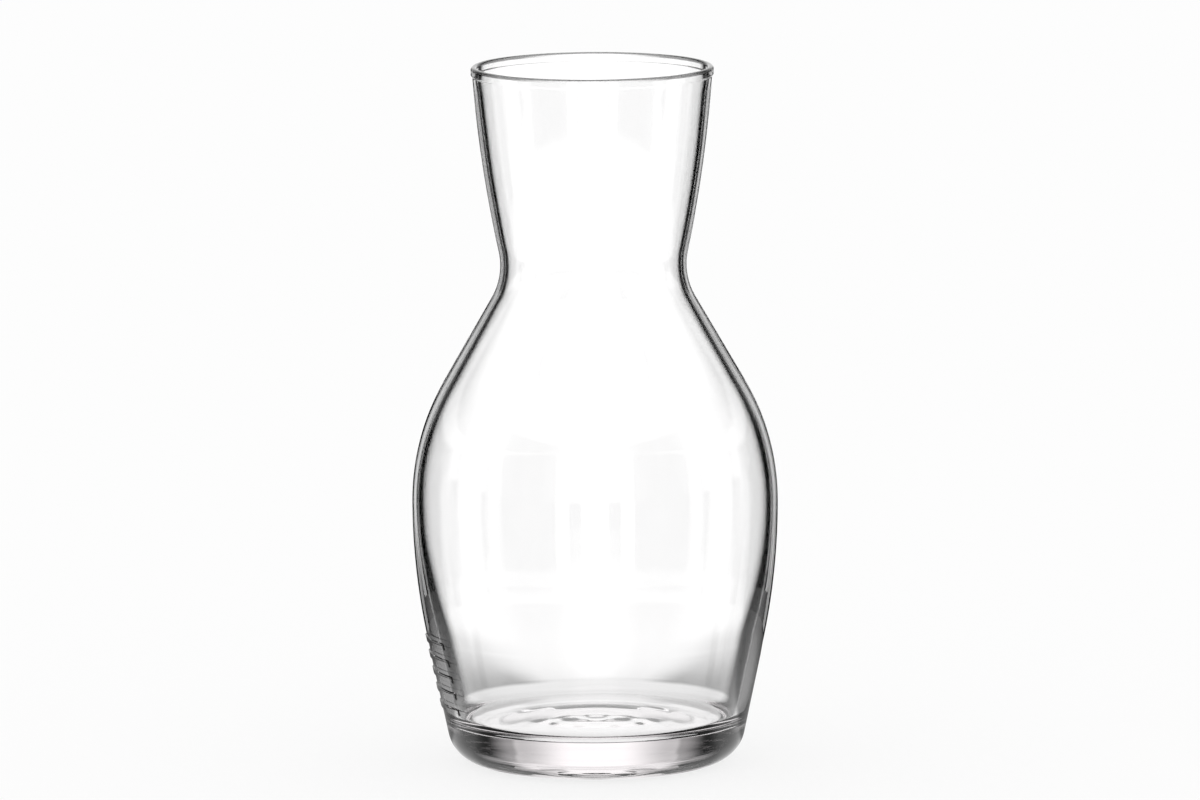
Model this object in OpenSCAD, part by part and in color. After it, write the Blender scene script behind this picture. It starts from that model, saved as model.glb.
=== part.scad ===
// Water carafe: one piece of clear glass, pressed and then blown in a mould.
// Its axis is Z, the table is the plane z = 0, and every length is in millimetres.
// The outside and the inside are each a chain of arcs and straight tapers that meet
// without a corner. The glass is what lies between the two, revolved about the axis.

/* [Outside] */
// Height from the table to the crest of the lip
height = 218; // [200:1:236]
// Largest diameter, at the belly
belly_d = 114; // [106:1:122]
// Height of the largest diameter
belly_z = 82; // [74:1:90]
// Radius of the curve above the belly, as a share of one that leaves the shoulder no straight slope
shoulder_curve_share = 0.82; // [0.6:0.01:0.96]
// Radius of the curve below the belly, as a share of one that leaves the flank no straight taper
flank_curve_share = 0.83; // [0.6:0.01:0.96]
// Diameter at the waist, the narrowest place
waist_d = 58; // [52:0.5:64]
// Height of the waist
waist_z = 156; // [148:1:164]
// Radius of the hollow curve at the waist
waist_curve_r = 20.5; // [16:0.5:26]
// Radius of the long swell between waist and lip
neck_curve_r = 405; // [340:5:480]

/* [Foot] */
// Diameter of the flat ring that stands on the table, over its outer edge
foot_d = 70; // [64:1:76]
// Width of that flat ring
foot_ring_w = 5; // [3:0.5:8]
// Radius of the heel above the ring, as a share of how far the belly reaches out beyond it
heel_share = 0.52; // [0.3:0.01:0.7]
// Rise of the hollow under the foot, at its middle
punt_rise = 1.8; // [1:0.1:3]

/* [Glass] */
// Thickness of the neck wall
neck_wall = 1.6; // [1.2:0.1:2]
// Thickness of the wall at the belly
belly_wall = 1.8; // [1.4:0.1:2.6]
// Height of the floor inside, at its edge
floor_z = 13; // [10:0.5:16]
// Rise of the floor towards its middle
floor_rise = 0.8; // [0.3:0.1:1.6]
// Where the floor ends, as a share of the way from the foot's edge out to the inside of the belly
floor_reach_share = 0.18; // [0:0.01:0.4]
// Radius of the corner round the floor, as a share of how far the belly's inside reaches beyond it
floor_corner_share = 0.36; // [0.2:0.01:0.6]

/* [Lip] */
// Diameter of the mouth, over the lip
mouth_d = 75.4; // [70:0.2:80]
// Thickness of the fire-polished bead that ends the neck wall
lip_t = 2.2; // [1.9:0.1:2.8]
// Height of the bead, down to where the neck wall begins
lip_h = 3.8; // [3:0.2:5]
// How far the bead stands out from the neck below it
lip_proud = 0.5; // [0.2:0.05:0.8]

/* [Raised bars] */
// Number of plain raised bars low on the left flank
bar_count = 5; // [1:1:5]
// Height of the lowest bar
bar_z = 19; // [17:0.5:24]
// Distance from one bar to the next
bar_pitch = 5.2; // [4.4:0.1:6.4]
// Width of a bar, up the flank
bar_w = 2.2; // [1.4:0.1:3]
// Length of a bar, round the flank
bar_len = 23; // [8:0.5:26]
// How far a bar stands out from the glass
bar_proud = 0.4; // [0.2:0.05:0.6]

/* [Hidden] */

// Side of the vessel that the middle of each bar faces, counted from +X towards +Y
bar_azimuth = 195;
// How deep a bar is rooted in the wall, and the share of its rise by which each long edge leans in
bar_root = 0.6;
bar_lean_share = 0.6;
// Height over which the slope of the flank is measured
slope_span = 2;

// The lip's small radii: under the bead as a share of its overhang, on the crest of its thickness
bead_fillet_share = 1.5;
crest_share = 0.45;

// How far a chord may fall short of its arc, and the sharpest turn from one chord to the next
sag = 0.04;
turn_max = 12;
facets = 96;

belly_r = belly_d / 2;
waist_r = waist_d / 2;
foot_r = foot_d / 2;
mouth_r = mouth_d / 2;
floor_r = foot_r + floor_reach_share * (belly_r - belly_wall - foot_r);

function unit(v) = v / norm(v);
function left_of(v) = [-v.y, v.x];
function polar(angle) = [cos(angle), sin(angle)];
function heading(v) = atan2(v.y, v.x);
function last(list) = list[len(list) - 1];
function reversed(list) = [for (i = [len(list) - 1:-1:0]) list[i]];

// Points along an arc, from one angle to another
function arc(centre, r, from, to) =
    let (
        turn = min(turn_max, 2 * acos(1 - sag / r)),
        steps = ceil(abs(to - from) / turn)
    )
    [for (i = [0:steps]) centre + r * polar(from + (to - from) * i / steps)];

// An arc of a given radius in the corner at b, on the way from a to c
function corner(a, b, c, r) =
    let (
        way_in = unit(b - a),
        way_out = unit(c - b),
        turn = atan2(left_of(way_in) * way_out, way_in * way_out),
        side = sign(turn),
        centre = b - r * tan(abs(turn) / 2) * way_in + side * r * left_of(way_in),
        from = heading(-side * left_of(way_in))
    )
    arc(centre, r, from, from + turn);

// A shallow dome, from the axis out to its edge
function dome(edge_r, edge_z, rise) =
    let (r = (edge_r ^ 2 + rise ^ 2) / (2 * rise))
    arc([0, edge_z + rise - r], r, 90, 90 - asin(edge_r / r));

// Heading, from either centre, at which one line touches two circles on the same side
function outer_tangent(lower, lower_r, upper, upper_r) =
    heading(upper - lower) - acos((lower_r - upper_r) / norm(upper - lower));

// Heading, from the lower centre, at which one line touches two circles and passes between them
function crossing_tangent(lower, lower_r, upper, upper_r) =
    heading(upper - lower) - acos((lower_r + upper_r) / norm(upper - lower));

// Where two circles meet, on the left of the way from a to b
function circles_meet(a, a_r, b, b_r) =
    let (
        d = norm(b - a),
        along = (d ^ 2 + a_r ^ 2 - b_r ^ 2) / (2 * d),
        across = sqrt(a_r ^ 2 - along ^ 2)
    )
    a + along * unit(b - a) + across * left_of(unit(b - a));

// Radius of a curve that starts upright at a place and runs into a circle with no straight stretch.
// The circle has a positive radius where it lies inside the curve, and a negative one where outside.
function joining_r(start, centre, r) =
    let (back = start - centre)
    (back * back - r ^ 2) / (2 * (back.x - r));

// Where the neck ends and the bead of the lip begins, and the centres that both surfaces share
neck_top = [mouth_r - lip_proud, height - lip_h];
waist_centre = [waist_r + waist_curve_r, waist_z];
neck_centre = circles_meet(waist_centre, waist_curve_r + neck_curve_r, neck_top, neck_curve_r);
belly_point = [belly_r, belly_z];
shoulder_curve_r = shoulder_curve_share * joining_r(belly_point, waist_centre, -waist_curve_r);
shoulder_centre = belly_point - [shoulder_curve_r, 0];

// Up from the foot or the floor to the widest place: a corner curve, a straight taper, a long curve
function flank(edge, inset, corner_share) =
    let (
        widest = belly_point - [inset, 0],
        corner_r = corner_share * (widest.x - edge.x),
        corner_centre = edge + [0, corner_r],
        curve_r = flank_curve_share * joining_r(widest, corner_centre, corner_r),
        curve_centre = widest - [curve_r, 0],
        touch = outer_tangent(corner_centre, corner_r, curve_centre, curve_r)
    )
    concat(
        arc(corner_centre, corner_r, -90, touch),
        arc(curve_centre, curve_r, touch, 0)
    );

// On from the widest place to the end of the neck, deeper in the glass by an inset at belly and neck
function shoulder_and_neck(belly_inset, neck_inset) =
    let (
        shoulder_r = shoulder_curve_r - belly_inset,
        hollow_r = waist_curve_r + neck_inset,
        touch = crossing_tangent(shoulder_centre, shoulder_r, waist_centre, hollow_r),
        swell = heading(waist_centre - neck_centre)
    )
    concat(
        arc(shoulder_centre, shoulder_r, 0, touch),
        arc(waist_centre, hollow_r, touch + 180, swell + 180),
        arc(neck_centre, neck_curve_r - neck_inset, swell, heading(neck_top - neck_centre))
    );

outside = concat(flank([foot_r, 0], 0, heel_share), shoulder_and_neck(0, 0));
inside = concat(
    flank([floor_r, floor_z], belly_wall, floor_corner_share),
    shoulder_and_neck(belly_wall, neck_wall)
);

// The lip: out under the bead, up its side, over the crest and down to the inside
bead_fillet = lip_proud * bead_fillet_share;
crest_r = lip_t * crest_share;
bead_foot = neck_top + bead_fillet * left_of(unit(neck_top - neck_centre));
bead_edge = [mouth_r, bead_foot.y + mouth_r - bead_foot.x];
crest_outer = [mouth_r, height];
crest_inner = [mouth_r - lip_t, height];
lip = concat(
    corner(neck_top, bead_foot, bead_edge, bead_fillet),
    corner(bead_foot, bead_edge, crest_outer, bead_fillet),
    corner(bead_edge, crest_outer, crest_inner, crest_r),
    corner(crest_outer, crest_inner, last(inside), crest_r)
);

// The hollow under the foot, and the floor inside
punt = dome(foot_r - foot_ring_w, 0, punt_rise);
floor_line = dome(floor_r, floor_z, floor_rise);

// Leaves out a point that repeats the one before it
function distinct(points) = [
    for (i = [0:len(points) - 1])
        if (i == 0 || norm(points[i] - points[max(i - 1, 0)]) > sag / 10) points[i]
];

// Volume inside, up to a height, from the slices between the points of the inside
function slice_volume(a, b) = PI * (b.y - a.y) * (a.x ^ 2 + a.x * b.x + b.x ^ 2) / 3;
function sum(values) = [for (v = values) 1] * values;
function volume_below(z) =
    let (wall = [for (p = inside) if (p.y <= z) p])
    sum([for (i = [1:len(wall) - 1]) slice_volume(wall[i - 1], wall[i])]);
echo(brimful_mm3 = volume_below(height), to_the_waist_mm3 = volume_below(waist_z));

// Radius of the outside at a height
function outside_r(z) = lookup(z, [for (p = outside) [p.y, p.x]]);

// One bar, which follows the flank round and stands square to it
module raised_bar(z) {
    slope = atan2(outside_r(z + slope_span / 2) - outside_r(z - slope_span / 2), slope_span);
    turn = bar_len / outside_r(z) * 180 / PI;
    half_root = bar_w / 2 + bar_root * bar_lean_share;
    half_top = bar_w / 2 - bar_proud * bar_lean_share;
    rotate(bar_azimuth - turn / 2)
        rotate_extrude(angle = turn, $fn = facets)
            translate([outside_r(z), z])
                rotate(-slope)
                    polygon([
                        [-bar_root, -half_root],
                        [bar_proud, -half_top],
                        [bar_proud, half_top],
                        [-bar_root, half_root]
                    ]);
}

// Foot, flank, belly, shoulder, neck and lip in one piece of glass
module glass_body() {
    color("lightcyan", 0.4)
        union() {
            rotate_extrude($fn = facets)
                polygon(distinct(concat(punt, outside, lip, reversed(inside), reversed(floor_line))));
            for (i = [0:bar_count - 1]) raised_bar(bar_z + i * bar_pitch);
        }
}

glass_body();
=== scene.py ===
# Water carafe: the clear glass, the table and the bright room it stands in, and the camera.
import math

import bpy
from mathutils import Matrix, Vector


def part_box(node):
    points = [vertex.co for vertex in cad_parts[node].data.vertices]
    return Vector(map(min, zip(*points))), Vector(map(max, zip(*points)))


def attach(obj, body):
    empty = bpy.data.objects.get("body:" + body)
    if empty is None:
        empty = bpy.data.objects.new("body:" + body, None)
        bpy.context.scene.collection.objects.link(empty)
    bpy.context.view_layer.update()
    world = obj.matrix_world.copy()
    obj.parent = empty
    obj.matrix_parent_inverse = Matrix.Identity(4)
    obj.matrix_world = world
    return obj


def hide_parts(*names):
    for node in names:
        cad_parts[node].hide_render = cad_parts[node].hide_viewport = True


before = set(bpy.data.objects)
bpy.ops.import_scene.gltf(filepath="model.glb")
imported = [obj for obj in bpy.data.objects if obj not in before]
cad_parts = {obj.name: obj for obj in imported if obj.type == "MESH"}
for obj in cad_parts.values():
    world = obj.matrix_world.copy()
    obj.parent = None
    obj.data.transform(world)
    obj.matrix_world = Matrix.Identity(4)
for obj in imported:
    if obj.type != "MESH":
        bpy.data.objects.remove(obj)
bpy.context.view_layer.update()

bl_info = {
    "name": "Water carafe",
    "version": (1, 0, 0),
    "blender": (4, 5, 0),
    "location": "View3D > Sidebar > Carafe",
    "description": "Blows a clear glass water carafe and stands it in a bright studio",
    "category": "Add Mesh",
}

MM = 0.001
NODE = "glass_body"
CAD_LOW, CAD_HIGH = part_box(NODE)


# Sizes and colours

class CarafeOutside(bpy.types.PropertyGroup):
    """Sizes of the outside of the glass"""
    height: bpy.props.FloatProperty(
        name="Height", description="From the table to the crest of the lip",
        default=CAD_HIGH.z - CAD_LOW.z, unit="LENGTH", precision=4)
    belly_radius: bpy.props.FloatProperty(
        name="Belly radius", description="Largest radius of the glass",
        default=CAD_HIGH.x, unit="LENGTH", precision=4)
    belly_height: bpy.props.FloatProperty(
        name="Belly height", description="Height of the largest diameter",
        default=82 * MM, unit="LENGTH", precision=4)
    shoulder_share: bpy.props.FloatProperty(
        name="Shoulder curve", default=0.82, subtype="FACTOR",
        description="Radius above the belly, as a share of one that leaves no straight slope")
    flank_share: bpy.props.FloatProperty(
        name="Flank curve", default=0.83, subtype="FACTOR",
        description="Radius below the belly, as a share of one that leaves no straight taper")
    waist_radius: bpy.props.FloatProperty(
        name="Waist radius", description="Radius at the narrowest place",
        default=29 * MM, unit="LENGTH", precision=4)
    waist_height: bpy.props.FloatProperty(
        name="Waist height", description="Height of the narrowest place",
        default=156 * MM, unit="LENGTH", precision=4)
    waist_curve: bpy.props.FloatProperty(
        name="Waist curve", description="Radius of the hollow curve at the waist",
        default=20.5 * MM, unit="LENGTH", precision=4)
    neck_curve: bpy.props.FloatProperty(
        name="Neck curve", description="Radius of the long swell between waist and lip",
        default=405 * MM, unit="LENGTH", precision=4)
    foot_radius: bpy.props.FloatProperty(
        name="Foot radius", description="Outer radius of the flat ring on the table",
        default=35 * MM, unit="LENGTH", precision=4)
    foot_ring: bpy.props.FloatProperty(
        name="Foot ring", description="Width of the flat ring on the table",
        default=5 * MM, unit="LENGTH", precision=4)
    heel_share: bpy.props.FloatProperty(
        name="Heel", default=0.52, subtype="FACTOR",
        description="Radius of the heel, as a share of how far the belly reaches past the ring")
    punt_rise: bpy.props.FloatProperty(
        name="Punt", description="Rise of the hollow under the foot",
        default=1.8 * MM, unit="LENGTH", precision=4)


class CarafeInside(bpy.types.PropertyGroup):
    """Sizes of the walls, the floor and the lip"""
    neck_wall: bpy.props.FloatProperty(
        name="Neck wall", description="Thickness of the neck wall",
        default=1.6 * MM, unit="LENGTH", precision=4)
    belly_wall: bpy.props.FloatProperty(
        name="Belly wall", description="Thickness of the wall at the belly",
        default=1.8 * MM, unit="LENGTH", precision=4)
    floor_height: bpy.props.FloatProperty(
        name="Floor height", description="Height of the floor inside, at its edge",
        default=13 * MM, unit="LENGTH", precision=4)
    floor_rise: bpy.props.FloatProperty(
        name="Floor rise", description="Rise of the floor towards its middle",
        default=0.8 * MM, unit="LENGTH", precision=4)
    floor_reach: bpy.props.FloatProperty(
        name="Floor reach", default=0.18, subtype="FACTOR",
        description="Where the floor ends, as a share of the way from the foot out to the belly")
    corner_share: bpy.props.FloatProperty(
        name="Floor corner", default=0.36, subtype="FACTOR",
        description="Radius round the floor, as a share of how far the belly reaches beyond it")
    mouth_radius: bpy.props.FloatProperty(
        name="Mouth radius", description="Radius of the mouth, over the lip",
        default=37.7 * MM, unit="LENGTH", precision=4)
    lip_thickness: bpy.props.FloatProperty(
        name="Lip thickness", description="Thickness of the fire-polished bead",
        default=2.2 * MM, unit="LENGTH", precision=4)
    lip_height: bpy.props.FloatProperty(
        name="Lip height", description="Height of the bead",
        default=3.8 * MM, unit="LENGTH", precision=4)
    lip_overhang: bpy.props.FloatProperty(
        name="Lip overhang", description="How far the bead stands out from the neck",
        default=0.5 * MM, unit="LENGTH", precision=4)


class CarafeBars(bpy.types.PropertyGroup):
    """Sizes of the plain raised bars on the left flank"""
    count: bpy.props.IntProperty(
        name="Bars", description="Number of raised bars", default=5, min=0)
    lowest: bpy.props.FloatProperty(
        name="Lowest bar", description="Height of the lowest bar",
        default=19 * MM, unit="LENGTH", precision=4)
    pitch: bpy.props.FloatProperty(
        name="Pitch", description="Distance from one bar to the next",
        default=5.2 * MM, unit="LENGTH", precision=4)
    width: bpy.props.FloatProperty(
        name="Width", description="Width of a bar, up the flank",
        default=2.2 * MM, unit="LENGTH", precision=4)
    length: bpy.props.FloatProperty(
        name="Length", description="Length of a bar, round the flank",
        default=23 * MM, unit="LENGTH", precision=4)
    rise: bpy.props.FloatProperty(
        name="Rise", description="How far a bar stands out from the glass",
        default=0.4 * MM, unit="LENGTH", precision=4)
    azimuth: bpy.props.FloatProperty(
        name="Azimuth", description="Side that the middle of each bar faces",
        default=math.radians(195), subtype="ANGLE", unit="ROTATION")


class CarafeFinish(bpy.types.PropertyGroup):
    """The glass itself: its tint and the traces of how it was made"""
    tint: bpy.props.StringProperty(
        name="Tint", description="Colour of light through the glass, in sRGB hex", default="#EFDFE4")
    absorption: bpy.props.FloatProperty(
        name="Absorption", description="Strength of the tint, per metre of glass", default=4.0)
    unevenness: bpy.props.FloatProperty(
        name="Unevenness", description="How far the inner wall wanders from a true turned shape",
        default=0.12 * MM, unit="LENGTH", precision=5)
    unevenness_size: bpy.props.FloatProperty(
        name="Unevenness size", description="Width of one gentle swell of the inner wall",
        default=34 * MM, unit="LENGTH", precision=4)
    ripple: bpy.props.FloatProperty(
        name="Floor ripple", description="Height of the rings that the plunger left in the floor",
        default=0.16 * MM, unit="LENGTH", precision=5)
    ripple_pitch: bpy.props.FloatProperty(
        name="Ripple pitch", description="Distance between those rings",
        default=9 * MM, unit="LENGTH", precision=4)


class CarafeStudio(bpy.types.PropertyGroup):
    """The table, the light and the camera"""
    table_colour: bpy.props.StringProperty(
        name="Table", description="Colour of the table, in sRGB hex", default="#F7F7F7")
    table_glow: bpy.props.FloatProperty(
        name="Table glow", description="Share of the table's light that takes no shadow", default=0.8)
    table_reach: bpy.props.FloatProperty(
        name="Table reach", description="How far out the glass shows the table",
        default=200 * MM, unit="LENGTH", precision=3)
    # Painted light in stripes on the table and painted shade between them: the table sends them out itself,
    # for the glass only, and no lamp throws them
    painted_sheen: bpy.props.FloatProperty(
        name="Sheen", description="Brightness of the panels' light on the table, close by", default=0.9)
    painted_sheen_near: bpy.props.FloatProperty(
        name="Sheen near", description="Half the width of that light close to the carafe",
        default=20 * MM, unit="LENGTH", precision=3)
    painted_sheen_far: bpy.props.FloatProperty(
        name="Sheen far", description="Half the width of that light at the table's reach",
        default=45 * MM, unit="LENGTH", precision=3)
    shade: bpy.props.FloatProperty(
        name="Shade", description="Brightness of the table between those lights, close by", default=0.32)
    shade_end: bpy.props.FloatProperty(
        name="Shade end", default=0.15,
        description="Brightness of the table between those lights, at its reach")
    close_by: bpy.props.FloatProperty(
        name="Close by", description="How far out the table counts as close",
        default=95 * MM, unit="LENGTH", precision=3)
    panel: bpy.props.FloatProperty(
        name="Panel brightness", default=1.13,
        description="Brightness of the white panels, and of the room seen straight through the glass")
    panel_half: bpy.props.FloatProperty(
        name="Panel", description="Half the width of each panel, seen from the carafe",
        default=math.radians(8.5), subtype="ANGLE", unit="ROTATION")
    panel_soft: bpy.props.FloatProperty(
        name="Panel softness", description="Half the width of a panel's soft edge",
        default=math.radians(1.2), subtype="ANGLE", unit="ROTATION")
    strip: bpy.props.FloatProperty(
        name="Strip brightness", description="Brightness of the strip beside each panel", default=0.7)
    strip_middle: bpy.props.FloatProperty(
        name="Strip", description="Turn from a panel to that strip",
        default=math.radians(21), subtype="ANGLE", unit="ROTATION")
    strip_half: bpy.props.FloatProperty(
        name="Strip width", description="Half the width of that strip",
        default=math.radians(4.2), subtype="ANGLE", unit="ROTATION")
    high_half: bpy.props.FloatProperty(
        name="High panel", description="Half the width of each panel above the horizon",
        default=math.radians(24.5), subtype="ANGLE", unit="ROTATION")
    high_middle: bpy.props.FloatProperty(
        name="High panel middle", description="Half the width of its brightest part",
        default=math.radians(14), subtype="ANGLE", unit="ROTATION")
    high_soft: bpy.props.FloatProperty(
        name="High panel softness", description="Half the width of the soft edge of that part",
        default=math.radians(8), subtype="ANGLE", unit="ROTATION")
    high_side: bpy.props.FloatProperty(
        name="High panel side", description="Brightness beside that part", default=0.6)
    margin: bpy.props.FloatProperty(
        name="Margin", default=0.35,
        description="Brightness of the dim margin of each panel above the horizon")
    margin_half: bpy.props.FloatProperty(
        name="Margin width", description="Half the width of such a panel with its dim margins",
        default=math.radians(31), subtype="ANGLE", unit="ROTATION")
    margin_soft: bpy.props.FloatProperty(
        name="Margin softness", description="Half the width of the soft edge of a margin",
        default=math.radians(6), subtype="ANGLE", unit="ROTATION")
    ceiling: bpy.props.FloatProperty(
        name="Ceiling", description="Brightness of the light overhead", default=0.75)
    ground: bpy.props.FloatProperty(
        name="Ground", description="Brightness of the floor round the panels", default=1.1)
    deep: bpy.props.FloatProperty(
        name="Deep", description="Brightness of what lies lower than that floor", default=0.12)
    deep_edge: bpy.props.FloatProperty(
        name="Deep edge", description="Elevation above which the floor round the panels shows",
        default=math.radians(-33), subtype="ANGLE", unit="ROTATION")
    panel_edge: bpy.props.FloatProperty(
        name="Panel edge", description="Elevation at which the panels stand on that floor",
        default=math.radians(-19.5), subtype="ANGLE", unit="ROTATION")
    high_edge: bpy.props.FloatProperty(
        name="High edge", description="Elevation at which the wide panels take over",
        default=math.radians(3), subtype="ANGLE", unit="ROTATION")
    ceiling_edge: bpy.props.FloatProperty(
        name="Ceiling edge", description="Elevation at which the light overhead begins",
        default=math.radians(30), subtype="ANGLE", unit="ROTATION")
    camera_distance: bpy.props.FloatProperty(
        name="Distance", description="From the camera to the carafe",
        default=3.766, unit="LENGTH", precision=3)
    camera_elevation: bpy.props.FloatProperty(
        name="Elevation", description="How far the camera looks down",
        default=math.radians(8.316), subtype="ANGLE", unit="ROTATION")
    camera_roll: bpy.props.FloatProperty(
        name="Roll", description="Lean of the camera about its line of sight",
        default=math.radians(-0.38), subtype="ANGLE", unit="ROTATION")
    camera_lens: bpy.props.FloatProperty(
        name="Lens", description="Focal length, in millimetres", default=363.4, subtype="DISTANCE_CAMERA")
    aim_height: bpy.props.FloatProperty(
        name="Aim height", description="Height of the point that the camera looks at",
        default=113.4 * MM, unit="LENGTH", precision=4)
    aim_right: bpy.props.FloatProperty(
        name="Aim right", description="How far right of the axis the camera looks",
        default=1.76 * MM, unit="LENGTH", precision=4)


class CarafeSettings(bpy.types.PropertyGroup):
    """All the settings of the carafe"""
    outside: bpy.props.PointerProperty(type=CarafeOutside)
    inside: bpy.props.PointerProperty(type=CarafeInside)
    bars: bpy.props.PointerProperty(type=CarafeBars)
    finish: bpy.props.PointerProperty(type=CarafeFinish)
    studio: bpy.props.PointerProperty(type=CarafeStudio)


# The section of the glass: plane points with the radius first and the height second

# Longest sag of a chord below its arc, sharpest turn between chords and longest straight step
SAG = 0.004 * MM
TURN_MAX = math.radians(5)
STEP_MAX = 4 * MM
# Steps of the spin, and the least distance between two points of the mesh
SPIN_STEPS = 240
LEAST_GAP = 0.005 * MM
# Radii of the lip: under the bead as a share of its overhang, on the crest of its thickness
BEAD_FILLET_SHARE = 1.5
CREST_SHARE = 0.45
# Slant of the bars' sides, as a share of their rise
BAR_LEAN_SHARE = 0.6
# Points of the floor's line to each ripple
STEPS_PER_RIPPLE = 12


def polar(angle, radius=1.0):
    """The point at a heading and a distance from the origin."""
    return Vector((math.cos(angle), math.sin(angle))) * radius


def heading(v):
    """The angle from the first axis to a vector."""
    return math.atan2(v.y, v.x)


def left_of(v):
    """A vector turned a quarter to the left."""
    return Vector((-v.y, v.x))


def arc(centre, radius, start, end):
    """Points along an arc, from one heading to another."""
    turn = min(TURN_MAX, 2 * math.acos(1 - SAG / radius))
    steps = math.ceil(abs(end - start) / turn)
    return [centre + polar(start + (end - start) * i / steps, radius) for i in range(steps + 1)]


def corner(a, b, c, radius):
    """An arc in the corner at b, on the way from a to c."""
    way_in, way_out = (b - a).normalized(), (c - b).normalized()
    turn = math.atan2(left_of(way_in).dot(way_out), way_in.dot(way_out))
    side = math.copysign(1, turn)
    centre = b - way_in * (radius * math.tan(abs(turn) / 2)) + left_of(way_in) * (side * radius)
    start = heading(left_of(way_in) * -side)
    return arc(centre, radius, start, start + turn)


def dome(edge_r, edge_z, rise):
    """A shallow dome, from the axis out to its edge."""
    radius = (edge_r ** 2 + rise ** 2) / (2 * rise)
    half = math.asin(edge_r / radius)
    return arc(Vector((0, edge_z + rise - radius)), radius, math.pi / 2, math.pi / 2 - half)


def joining_radius(start, centre, radius):
    """Radius of a curve that starts upright and runs into a circle with no straight stretch."""
    back = start - centre
    return (back.dot(back) - radius ** 2) / (2 * (back.x - radius))


def circles_meet(a, a_radius, b, b_radius):
    """Where two circles meet, on the left of the way from a to b."""
    way, gap = (b - a).normalized(), (b - a).length
    along = (gap ** 2 + a_radius ** 2 - b_radius ** 2) / (2 * gap)
    return a + way * along + left_of(way) * math.sqrt(a_radius ** 2 - along ** 2)


def flank(outside, edge, inset, corner_share):
    """From the edge of the foot or the floor up to the widest place."""
    widest = Vector((outside.belly_radius - inset, outside.belly_height))
    corner_r = corner_share * (widest.x - edge.x)
    low = edge + Vector((0, corner_r))
    curve_r = outside.flank_share * joining_radius(widest, low, corner_r)
    centre = widest - Vector((curve_r, 0))
    touch = heading(centre - low) - math.acos((corner_r - curve_r) / (centre - low).length)
    return arc(low, corner_r, -math.pi / 2, touch) + arc(centre, curve_r, touch, 0)


def shoulder_and_neck(outside, inside, belly_inset, neck_inset):
    """From the widest place up to the end of the neck, and the centre of the neck's curve."""
    belly = Vector((outside.belly_radius, outside.belly_height))
    waist = Vector((outside.waist_radius + outside.waist_curve, outside.waist_height))
    neck_top = Vector((inside.mouth_radius - inside.lip_overhang, outside.height - inside.lip_height))
    neck = circles_meet(waist, outside.waist_curve + outside.neck_curve, neck_top, outside.neck_curve)
    curve_r = outside.shoulder_share * joining_radius(belly, waist, -outside.waist_curve)
    centre = belly - Vector((curve_r, 0))
    shoulder_r, hollow_r = curve_r - belly_inset, outside.waist_curve + neck_inset
    touch = heading(waist - centre) - math.acos((shoulder_r + hollow_r) / (waist - centre).length)
    swell = heading(waist - neck)
    points = arc(centre, shoulder_r, 0, touch)
    points += arc(waist, hollow_r, touch + math.pi, swell + math.pi)
    points += arc(neck, outside.neck_curve - neck_inset, swell, heading(neck_top - neck))
    return points, neck


def lip(outside, inside, neck_centre, neck_top, wall_top):
    """Out under the bead, up its side, over the crest and down to the inside."""
    fillet = inside.lip_overhang * BEAD_FILLET_SHARE
    crest_r = inside.lip_thickness * CREST_SHARE
    bead_foot = neck_top + left_of((neck_top - neck_centre).normalized()) * fillet
    bead_edge = Vector((inside.mouth_radius, bead_foot.y + inside.mouth_radius - bead_foot.x))
    crest_outer = Vector((inside.mouth_radius, outside.height))
    crest_inner = Vector((inside.mouth_radius - inside.lip_thickness, outside.height))
    points = corner(neck_top, bead_foot, bead_edge, fillet)
    points += corner(bead_foot, bead_edge, crest_outer, fillet)
    points += corner(bead_edge, crest_outer, crest_inner, crest_r)
    return points + corner(crest_outer, crest_inner, wall_top, crest_r)


def floor_edge(outside, inside):
    """Where the floor ends and the corner round it begins."""
    reach = outside.belly_radius - inside.belly_wall - outside.foot_radius
    return Vector((outside.foot_radius + inside.floor_reach * reach, inside.floor_height))


def evenly(points, steps):
    """The same line as points at equal distances."""
    lengths = [0.0]
    for a, b in zip(points, points[1:]):
        lengths.append(lengths[-1] + (b - a).length)
    out, i = [], 0
    for step in range(steps + 1):
        want = lengths[-1] * step / steps
        while i < len(points) - 2 and lengths[i + 1] < want:
            i += 1
        out.append(points[i].lerp(points[i + 1], (want - lengths[i]) / (lengths[i + 1] - lengths[i])))
    return out


def rippled_floor(outside, inside, finish):
    """The floor inside: a shallow dome with the rings that the plunger left, dying out at its edge."""
    points = []
    edge = floor_edge(outside, inside)
    steps = math.ceil(edge.x / (finish.ripple_pitch / STEPS_PER_RIPPLE))
    for plain in evenly(dome(edge.x, edge.y, inside.floor_rise), steps):
        fade = math.cos(math.pi / 2 * plain.x / edge.x) ** 2
        wave = math.cos(2 * math.pi * plain.x / finish.ripple_pitch)
        points.append(plain + Vector((0, finish.ripple * wave * fade)))
    return points


def with_heights(points, heights):
    """The same rising line, with a point added at each height."""
    out = points[:1]
    for a, b in zip(points, points[1:]):
        cuts = sorted(z for z in heights if a.y + LEAST_GAP < z < b.y - LEAST_GAP)
        out += [a.lerp(b, (z - a.y) / (b.y - a.y)) for z in cuts] + [b]
    return out


def fine(points):
    """The same line without repeats, and with long steps divided."""
    out = points[:1]
    for b in points[1:]:
        a, gap = out[-1], (b - out[-1]).length
        if gap > LEAST_GAP:
            steps = math.ceil(gap / STEP_MAX)
            out += [a.lerp(b, i / steps) for i in range(1, steps + 1)]
    return out


def bar_edges(bars):
    """Heights of the lower and upper edge of each bar."""
    middles = [bars.lowest + i * bars.pitch for i in range(bars.count)]
    return [(z - bars.width / 2, z + bars.width / 2) for z in middles]


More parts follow.
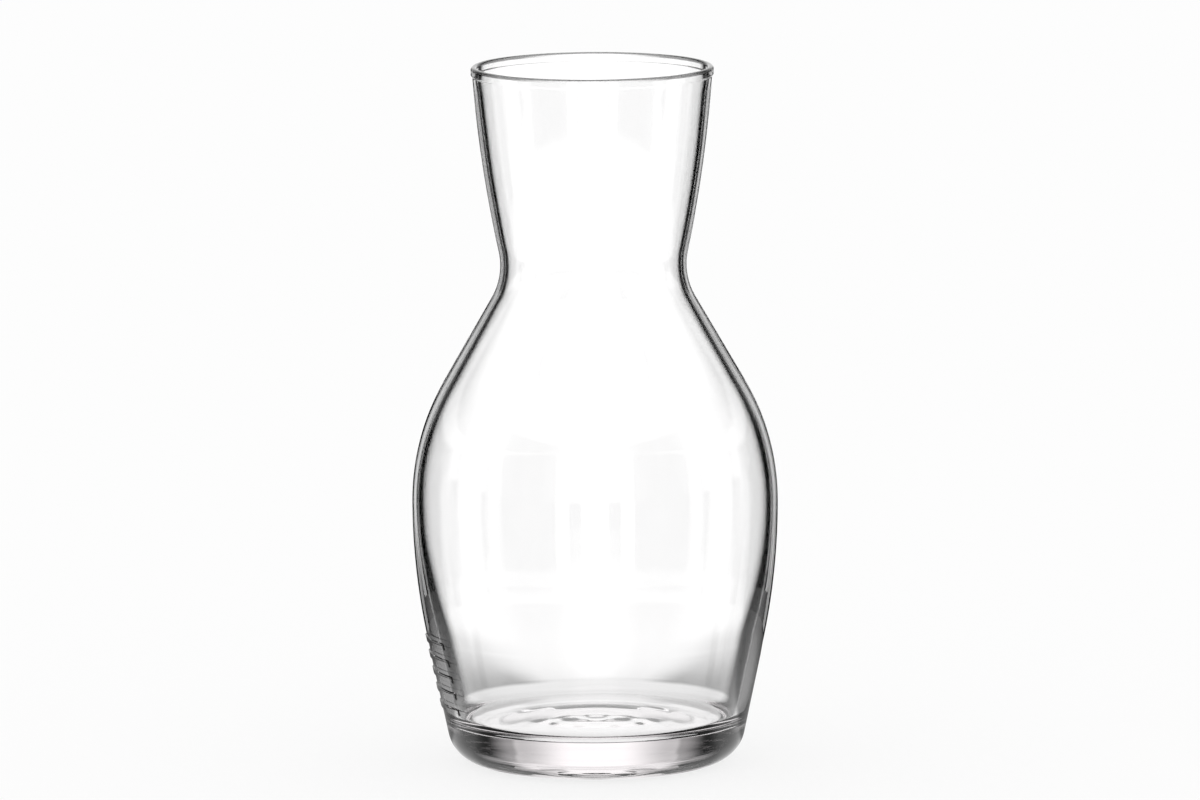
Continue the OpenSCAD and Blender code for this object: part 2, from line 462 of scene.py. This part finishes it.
def glass_section(settings):
    """The closed section of the glass, from the axis under the foot to the axis on the floor."""
    outside, inside = settings.outside, settings.inside
    punt = dome(outside.foot_radius - outside.foot_ring, 0, outside.punt_rise)
    upper, neck_centre = shoulder_and_neck(outside, inside, 0, 0)
    outer = flank(outside, Vector((outside.foot_radius, 0)), 0, outside.heel_share) + upper
    outer = with_heights(outer, [z for edges in bar_edges(settings.bars) for z in edges])
    upper, _ = shoulder_and_neck(outside, inside, inside.belly_wall, inside.neck_wall)
    inner = flank(outside, floor_edge(outside, inside), inside.belly_wall, inside.corner_share) + upper
    rim = lip(outside, inside, neck_centre, outer[-1], inner[-1])
    floor = rippled_floor(outside, inside, settings.finish)
    return fine(punt + outer + rim + inner[::-1] + floor[::-1])


# Modelling

# Height below the lip over which the inner wall begins to wander, as a multiple of the lip's height
WANDER_FADE = 4
# Sharpest bend between two faces that still looks smooth
SMOOTH_BEND = math.radians(50)


def alone(obj):
    """Selects one object and nothing else."""
    bpy.ops.object.select_all(action="DESELECT")
    obj.select_set(True)
    bpy.context.view_layer.objects.active = obj


def draw_line(points):
    """A new object with one line of edges in the upright plane through +X."""
    bpy.ops.object.select_all(action="DESELECT")
    bpy.ops.mesh.primitive_plane_add(size=MM, location=(0, 0, 0))
    obj = bpy.context.object
    bpy.ops.object.mode_set(mode="EDIT")
    bpy.ops.mesh.merge(type="CENTER")
    bpy.ops.transform.translate(value=(points[0].x, 0, points[0].y))
    for a, b in zip(points, points[1:]):
        step = (b.x - a.x, 0, b.y - a.y)
        bpy.ops.mesh.extrude_region_move(TRANSFORM_OT_translate={"value": step})
    bpy.ops.object.mode_set(mode="OBJECT")
    return obj


def select_faces(obj, wanted):
    """Selects the faces that a test on centre and normal picks, and leaves edit mode on."""
    bpy.ops.object.mode_set(mode="EDIT")
    bpy.ops.mesh.select_mode(type="FACE")
    bpy.ops.mesh.select_all(action="DESELECT")
    bpy.ops.object.mode_set(mode="OBJECT")
    for face in obj.data.polygons:
        face.select = wanted(face.center, face.normal)
    bpy.ops.object.mode_set(mode="EDIT")


def raise_bars(obj, settings):
    """Raises the plain bars out of the flank, with slanted sides."""
    bars = settings.bars
    for low, high in bar_edges(bars):
        def on_bar(centre, normal):
            turn = math.atan2(centre.y, centre.x) - bars.azimuth
            turn = (turn + math.pi) % (2 * math.pi) - math.pi
            outwards = normal.x * centre.x + normal.y * centre.y > 0
            radius = math.hypot(centre.x, centre.y)
            return outwards and low < centre.z < high and abs(turn) * radius < bars.length / 2

        select_faces(obj, on_bar)
        bpy.ops.mesh.inset(thickness=bars.rise * BAR_LEAN_SHARE, depth=bars.rise)
        bpy.ops.object.mode_set(mode="OBJECT")


def wander(obj, settings):
    """Lets the inner wall wander a little from a true turned shape, as blown glass does."""
    inside, finish = settings.inside, settings.finish
    group = obj.vertex_groups.new(name="inner wall")
    for vertex in obj.data.vertices:
        radial = Vector((vertex.co.x, vertex.co.y, 0))
        inward = vertex.normal.dot(radial) < 0
        below_lip = settings.outside.height - inside.lip_height - vertex.co.z
        weight = min(1.0, max(0.0, below_lip / (inside.lip_height * WANDER_FADE)))
        if inward and vertex.co.z > inside.floor_height and weight > 0:
            group.add([vertex.index], weight, "REPLACE")
    texture = bpy.data.textures.new("swell of the inner wall", "CLOUDS")
    texture.noise_scale = finish.unevenness_size
    texture.noise_depth = 1
    swell = obj.modifiers.new("swell", "DISPLACE")
    swell.texture = texture
    swell.texture_coords = "LOCAL"
    swell.strength = finish.unevenness
    swell.mid_level = 0.5
    swell.vertex_group = group.name
    alone(obj)
    bpy.ops.object.modifier_apply(modifier=swell.name)
    obj.vertex_groups.clear()
    bpy.data.textures.remove(texture)


class CARAFE_OT_glass(bpy.types.Operator):
    """Draw the section of the glass, spin it, raise its bars and give it its clear glass"""
    bl_idname = "carafe.glass"
    bl_label = "Glass"
    bl_options = {"REGISTER", "UNDO"}

    def execute(self, context):
        settings = context.scene.carafe
        glass = draw_line(glass_section(settings))
        glass.name = glass.data.name = "clear_glass"
        bpy.ops.object.mode_set(mode="EDIT")
        bpy.ops.mesh.select_all(action="SELECT")
        bpy.ops.mesh.spin(
            steps=SPIN_STEPS, angle=2 * math.pi, use_normal_flip=False,
            center=(0, 0, 0), axis=(0, 0, 1))
        bpy.ops.mesh.select_all(action="SELECT")
        bpy.ops.mesh.remove_doubles(threshold=LEAST_GAP)
        bpy.ops.mesh.normals_make_consistent(inside=False)
        bpy.ops.object.mode_set(mode="OBJECT")
        raise_bars(glass, settings)
        wander(glass, settings)
        alone(glass)
        bpy.ops.object.shade_smooth_by_angle(angle=SMOOTH_BEND)
        glass.data.materials.append(soda_lime_glass(settings.finish, settings.outside.height))
        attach(glass, "root")
        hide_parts(NODE)
        return {"FINISHED"}


# Materials

def linear(hex_colour):
    """An sRGB hex colour as linear red, green, blue and alpha."""
    parts = [int(hex_colour[i:i + 2], 16) / 255 for i in (1, 3, 5)]
    return [p / 12.92 if p <= 0.04045 else ((p + 0.055) / 1.055) ** 2.4 for p in parts] + [1.0]


def new_material(name):
    """A material with an empty node tree."""
    material = bpy.data.materials.new(name)
    material.use_nodes = True
    material.node_tree.nodes.clear()
    return material


def add_node(tree, kind, settings=None, values=None, links=None):
    """A node with its settings, the values of its inputs and what is linked into them."""
    node = tree.nodes.new(kind)
    for name, value in (settings or {}).items():
        setattr(node, name, value)
    for socket, value in (values or {}).items():
        node.inputs[socket].default_value = value
    for socket, source in (links or {}).items():
        tree.links.new(source, node.inputs[socket])
    return node


def calc(tree, operation, *inputs):
    """One step of arithmetic on numbers and outputs of other nodes."""
    numbers = {i: v for i, v in enumerate(inputs) if isinstance(v, (int, float))}
    links = {i: v for i, v in enumerate(inputs) if i not in numbers}
    return add_node(tree, "ShaderNodeMath", {"operation": operation}, numbers, links).outputs[0]


def ramp(tree, value, start, end, low=0.0, high=1.0):
    """A soft step from one number to another while a value goes from start to end."""
    ends = {"From Min": start, "From Max": end, "To Min": low, "To Max": high}
    step = {"interpolation_type": "SMOOTHSTEP"}
    return add_node(tree, "ShaderNodeMapRange", step, ends, {"Value": value}).outputs["Result"]


def blend(tree, share, a, b):
    """Between two numbers or outputs, by a share."""
    numbers = {i: v for i, v in ((2, a), (3, b)) if isinstance(v, (int, float))}
    links = {i: v for i, v in ((0, share), (2, a), (3, b)) if i not in numbers}
    return add_node(tree, "ShaderNodeMix", {"data_type": "FLOAT"}, numbers, links).outputs[0]


def split(tree, vector):
    """The three numbers of a vector, under the names X, Y and Z."""
    return add_node(tree, "ShaderNodeSeparateXYZ", links={0: vector}).outputs


def slant_of_sight(tree):
    """Zero where a surface is seen square on, and one where it is seen along itself."""
    return add_node(tree, "ShaderNodeLayerWeight", values={"Blend": 0.5}).outputs["Facing"]


# How much soda-lime glass bends light
GLASS_IOR = 1.52
# Unevenness of the fire-polished skin: width of one swell, its depth and how strongly it shows
SKIN_SWELL = 22 * MM
SKIN_DEPTH = 0.06 * MM
SKIN_STRENGTH = 0.12
# Slants of sight at which the painted dark edge of the inner wall begins, is full, begins to end and has
# ended
EDGE_SLANT = (0.64, 0.76, 0.84, 0.94)
# Heights over which that edge widens downwards, where the wall thickens, and by how much
EDGE_LOW = (75 * MM, 25 * MM)
EDGE_WIDER = 0.13
# Heights and slants of sight over which painted shade darkens the outside of the solid base in the same way
BASE_TOP = (15 * MM, 11 * MM)
BASE_SLANT = (0.38, 0.6)
# Tilt of the glass at which such an edge begins to fade and at which it has gone
EDGE_TILT = (0.7, 0.9)
# Brightness left in the glass's colour where the painted shade of such an edge is full
PAINTED_EDGE_LEVEL = 0.002
# Depths below the top and slants of sight over which painted shade darkens the lip, and the brightness that
# it leaves
LIP_DEPTH = (1.2 * MM, 0.8 * MM)
LIP_SLANT = (0.02, 0.25)
PAINTED_LIP_LEVEL = 0.08


def painted_dark_edges(tree, top):
    """Colour of the glass, with painted shade: white, but dark on the inner wall, on the solid base and on
    the lip where they are seen aslant. This painted shade stands in for the dark lines that thick glass
    shows against a bright ground."""
    slant = slant_of_sight(tree)
    coords = add_node(tree, "ShaderNodeTexCoord").outputs
    place = split(tree, coords["Object"])
    normal = split(tree, coords["Normal"])
    begin, full, end, gone = EDGE_SLANT
    wider = calc(tree, "ADD", slant, ramp(tree, place["Z"], *EDGE_LOW, 0.0, EDGE_WIDER))
    wall = calc(tree, "MULTIPLY", ramp(tree, wider, begin, full), ramp(tree, slant, gone, end))
    base = calc(tree, "MULTIPLY", ramp(tree, place["Z"], *BASE_TOP), ramp(tree, slant, *BASE_SLANT))
    outwards = calc(
        tree, "MULTIPLY_ADD", place["X"], normal["X"], calc(tree, "MULTIPLY", place["Y"], normal["Y"]))
    dark = blend(tree, calc(tree, "LESS_THAN", outwards, 0.0), base, wall)
    upright = ramp(tree, calc(tree, "ABSOLUTE", normal["Z"]), *reversed(EDGE_TILT))
    dark = calc(tree, "MULTIPLY", dark, upright)
    crest = ramp(tree, place["Z"], *(top - depth for depth in LIP_DEPTH))
    crest = calc(tree, "MULTIPLY", crest, ramp(tree, slant, *LIP_SLANT))
    # The glass's colour: white, darkened by the painted shade of the edges and of the lip
    light = calc(tree, "MULTIPLY", blend(tree, dark, 1.0, PAINTED_EDGE_LEVEL), blend(tree, crest, 1.0, PAINTED_LIP_LEVEL))
    return add_node(tree, "ShaderNodeCombineColor", links={0: light, 1: light, 2: light}).outputs["Color"]


def soda_lime_glass(finish, top):
    """Soda-lime glass, blown and fire-polished: clear, with a mirror-smooth skin that is not quite
    even, so that what is seen through it and in it bends a little."""
    material = new_material("Soda-lime glass, fire-polished")
    tree = material.node_tree
    place = add_node(tree, "ShaderNodeTexCoord").outputs["Object"]
    swell = add_node(
        tree, "ShaderNodeTexNoise", values={"Scale": 1 / SKIN_SWELL, "Detail": 1.0},
        links={"Vector": place})
    skin = add_node(
        tree, "ShaderNodeBump", values={"Strength": SKIN_STRENGTH, "Distance": SKIN_DEPTH},
        links={"Height": swell.outputs["Fac"]})
    # Its base colour carries the painted shade of the dark edges
    glass = add_node(
        tree, "ShaderNodeBsdfPrincipled",
        values={"Roughness": 0.0, "IOR": GLASS_IOR, "Transmission Weight": 1.0},
        links={"Normal": skin.outputs["Normal"], "Base Color": painted_dark_edges(tree, top)})
    body = add_node(
        tree, "ShaderNodeVolumeAbsorption",
        values={"Color": linear(finish.tint), "Density": finish.absorption})
    add_node(
        tree, "ShaderNodeOutputMaterial",
        links={"Surface": glass.outputs["BSDF"], "Volume": body.outputs["Volume"]})
    return material


# Stage

# Side of the table in metres, and how far its surface lies below the foot, so that they don't coincide
TABLE_SIZE = 12
TABLE_DROP = 0.2 * MM
# Panels of one kind round the carafe, and half the height of the soft edge between two kinds
PANELS = 4
SOFT_EDGE = math.radians(1)
# Slants of sight from which the table is evenly bright to which it shows its painted stripes of light and
# its painted shade: for light that was mirrored on its way through the glass, and for light let straight
# through
MIRRORED_SLANT = (0.3, 0.5)
STRAIGHT_SLANT = (0.64, 0.8)
# From outside to inside of the soft edge of a painted stripe of light, as shares of half its width
STRIPE_EDGE = (1.35, 0.65)


class CARAFE_OT_stage(bpy.types.Operator):
    """Lay the pale table and light it"""
    bl_idname = "carafe.stage"
    bl_label = "Table and light"
    bl_options = {"REGISTER", "UNDO"}

    def execute(self, context):
        studio = context.scene.carafe.studio
        bpy.ops.object.select_all(action="DESELECT")
        bpy.ops.mesh.primitive_plane_add(size=TABLE_SIZE, location=(0, 0, -TABLE_DROP))
        table = bpy.context.object
        table.name = "studio_table"
        table.data.materials.append(studio_table(studio))
        context.scene.world = bright_surround(studio)
        return {"FINISHED"}


def plain_sight(tree):
    """One for what the camera or a matt surface sees directly, and zero for what glass shows."""
    path = add_node(tree, "ShaderNodeLightPath").outputs
    return calc(tree, "MAXIMUM", path["Is Camera Ray"], path["Is Diffuse Ray"])


def mirrored(tree):
    """One for light that was mirrored on its way through the glass, and zero for light let straight
    through."""
    path = add_node(tree, "ShaderNodeLightPath").outputs
    return calc(tree, "MINIMUM", path["Glossy Depth"], 1.0)


def studio_table(studio):
    """White acrylic sheet: matt, and so evenly lit that it hardly takes a shadow. To the glass it glows
    with painted light in stripes, where the panels would throw light along it, and painted shade between
    them.
    Past the table's reach the glass shows the surround instead."""
    material = new_material("White acrylic sheet")
    tree = material.node_tree
    place = add_node(tree, "ShaderNodeTexCoord").outputs["Object"]
    way = split(tree, place)
    out = add_node(tree, "ShaderNodeVectorMath", {"operation": "LENGTH"}, links={0: place}).outputs["Value"]
    further = ramp(tree, out, studio.close_by, studio.table_reach)
    # Painted light along the stripes and painted shade between them, changing further out
    aside = calc(tree, "MINIMUM", *(calc(tree, "ABSOLUTE", way[axis]) for axis in "XY"))
    width = blend(tree, further, studio.painted_sheen_near, studio.painted_sheen_far)
    stripe = ramp(tree, calc(tree, "DIVIDE", aside, width), *STRIPE_EDGE)
    bright = blend(tree, further, studio.painted_sheen, studio.panel)
    dark = blend(tree, further, studio.shade, studio.shade_end)
    painted_stripes = blend(tree, stripe, dark, bright)
    slant = slant_of_sight(tree)
    turned = blend(tree, ramp(tree, slant, *MIRRORED_SLANT), bright, painted_stripes)
    straight = blend(tree, further, painted_stripes, studio.panel)
    straight = blend(tree, ramp(tree, slant, *STRAIGHT_SLANT), bright, straight)
    level = blend(tree, mirrored(tree), straight, turned)
    # The table glows with that painted light and shade, which only the glass shows
    near = add_node(tree, "ShaderNodeEmission", links={"Strength": level})
    far = add_node(tree, "ShaderNodeBsdfTransparent")
    in_glass = add_node(
        tree, "ShaderNodeMixShader",
        links={
            0: calc(tree, "GREATER_THAN", out, studio.table_reach),
            1: near.outputs["Emission"], 2: far.outputs["BSDF"]})
    matt = add_node(tree, "ShaderNodeBsdfDiffuse", values={"Color": linear(studio.table_colour)})
    glow = add_node(tree, "ShaderNodeEmission", values={"Color": (1, 1, 1, 1), "Strength": 1.0})
    seen = add_node(
        tree, "ShaderNodeMixShader", values={0: studio.table_glow},
        links={1: matt.outputs["BSDF"], 2: glow.outputs["Emission"]})
    surface = add_node(
        tree, "ShaderNodeMixShader",
        links={0: plain_sight(tree), 1: in_glass.outputs["Shader"], 2: seen.outputs["Shader"]})
    add_node(tree, "ShaderNodeOutputMaterial", links={"Surface": surface.outputs["Shader"]})
    return material


def bright_surround(studio):
    """A white room for the eye and the table. The glass mirrors what gives it part of its dark outlines:
    white panels all round it and the dark room between them; the rest is painted shade in the glass's
    colour.
    What it lets straight through is white up to the high panels."""
    world = bpy.data.worlds.new("Bright surround")
    world.use_nodes = True
    tree = world.node_tree
    tree.nodes.clear()
    way = split(tree, add_node(tree, "ShaderNodeTexCoord").outputs["Generated"])
    elevation = calc(tree, "ARCSINE", way["Z"])
    turn = calc(tree, "ARCTAN2", way["X"], way["Y"])
    aside = calc(tree, "PINGPONG", turn, math.pi / PANELS)

    def panels(half, soft):
        return ramp(tree, aside, half + soft, half - soft)

    strip = calc(tree, "COMPARE", aside, studio.strip_middle, studio.strip_half)
    strip = calc(tree, "MULTIPLY", strip, studio.strip)
    low = calc(tree, "MULTIPLY_ADD", panels(studio.panel_half, studio.panel_soft), studio.panel, strip)
    margin = calc(tree, "MULTIPLY", panels(studio.margin_half, studio.margin_soft), studio.margin)
    high = blend(tree, panels(studio.high_middle, studio.high_soft), studio.high_side, studio.panel)
    high = blend(tree, panels(studio.high_half, studio.panel_soft), margin, high)
    turned = mirrored(tree)
    level = blend(tree, turned, studio.panel, studio.deep)
    for start, brightness in (
            (studio.deep_edge, blend(tree, turned, studio.panel, studio.ground)),
            (studio.panel_edge, blend(tree, turned, studio.panel, low)),
            (studio.high_edge, high),
            (studio.ceiling_edge, studio.ceiling)):
        above = ramp(tree, elevation, start - SOFT_EDGE, start + SOFT_EDGE)
        level = blend(tree, above, level, brightness)
    white = blend(tree, plain_sight(tree), level, 1.0)
    glow = add_node(tree, "ShaderNodeBackground", values={"Color": (1, 1, 1, 1)}, links={"Strength": white})
    add_node(tree, "ShaderNodeOutputWorld", links={"Surface": glow.outputs["Background"]})
    return world


# Width of the camera's sensor in millimetres, and how far the camera sees in metres
SENSOR_WIDTH = 36
SIGHT_END = 40


class CARAFE_OT_camera(bpy.types.Operator):
    """Set up the camera at the height and distance of a product shot"""
    bl_idname = "carafe.camera"
    bl_label = "Camera"
    bl_options = {"REGISTER", "UNDO"}

    def execute(self, context):
        studio = context.scene.carafe.studio
        elevation = studio.camera_elevation
        back = Vector((0, -math.cos(elevation), math.sin(elevation)))
        aim = Vector((studio.aim_right, 0, studio.aim_height))
        right = Vector((1, 0, 0))
        level = Matrix((right, back.cross(right), back)).transposed()
        data = bpy.data.cameras.new("camera")
        data.lens = studio.camera_lens
        data.sensor_width = SENSOR_WIDTH
        data.clip_end = SIGHT_END
        camera = bpy.data.objects.new("camera", data)
        camera.matrix_world = (
            Matrix.Translation(aim + back * studio.camera_distance)
            @ (level @ Matrix.Rotation(studio.camera_roll, 3, "Z")).to_4x4())
        context.scene.collection.objects.link(camera)
        context.scene.camera = camera
        context.scene.view_settings.view_transform = "Standard"
        return {"FINISHED"}


class CARAFE_PT_panel(bpy.types.Panel):
    """The carafe's sizes and the buttons that make its pieces"""
    bl_idname = "CARAFE_PT_panel"
    bl_label = "Water carafe"
    bl_space_type = "VIEW_3D"
    bl_region_type = "UI"
    bl_category = "Carafe"

    def draw(self, context):
        settings = context.scene.carafe
        for group in (settings.outside, settings.inside, settings.bars, settings.finish, settings.studio):
            box = self.layout.box()
            for name in group.bl_rna.properties.keys():
                if name not in {"rna_type", "name"}:
                    box.prop(group, name)
        for operator in OPERATORS:
            self.layout.operator(operator.bl_idname)


OPERATORS = (CARAFE_OT_camera, CARAFE_OT_stage, CARAFE_OT_glass)
CLASSES = (
    CarafeOutside, CarafeInside, CarafeBars, CarafeFinish, CarafeStudio, CarafeSettings,
    *OPERATORS, CARAFE_PT_panel,
)


def register():
    for cls in CLASSES:
        bpy.utils.register_class(cls)
    bpy.types.Scene.carafe = bpy.props.PointerProperty(type=CarafeSettings)


def unregister():
    del bpy.types.Scene.carafe
    for cls in reversed(CLASSES):
        bpy.utils.unregister_class(cls)


def main():
    register()
    bpy.ops.carafe.camera()
    bpy.ops.carafe.stage()
    bpy.ops.carafe.glass()


if __name__ == "__main__":
    main()
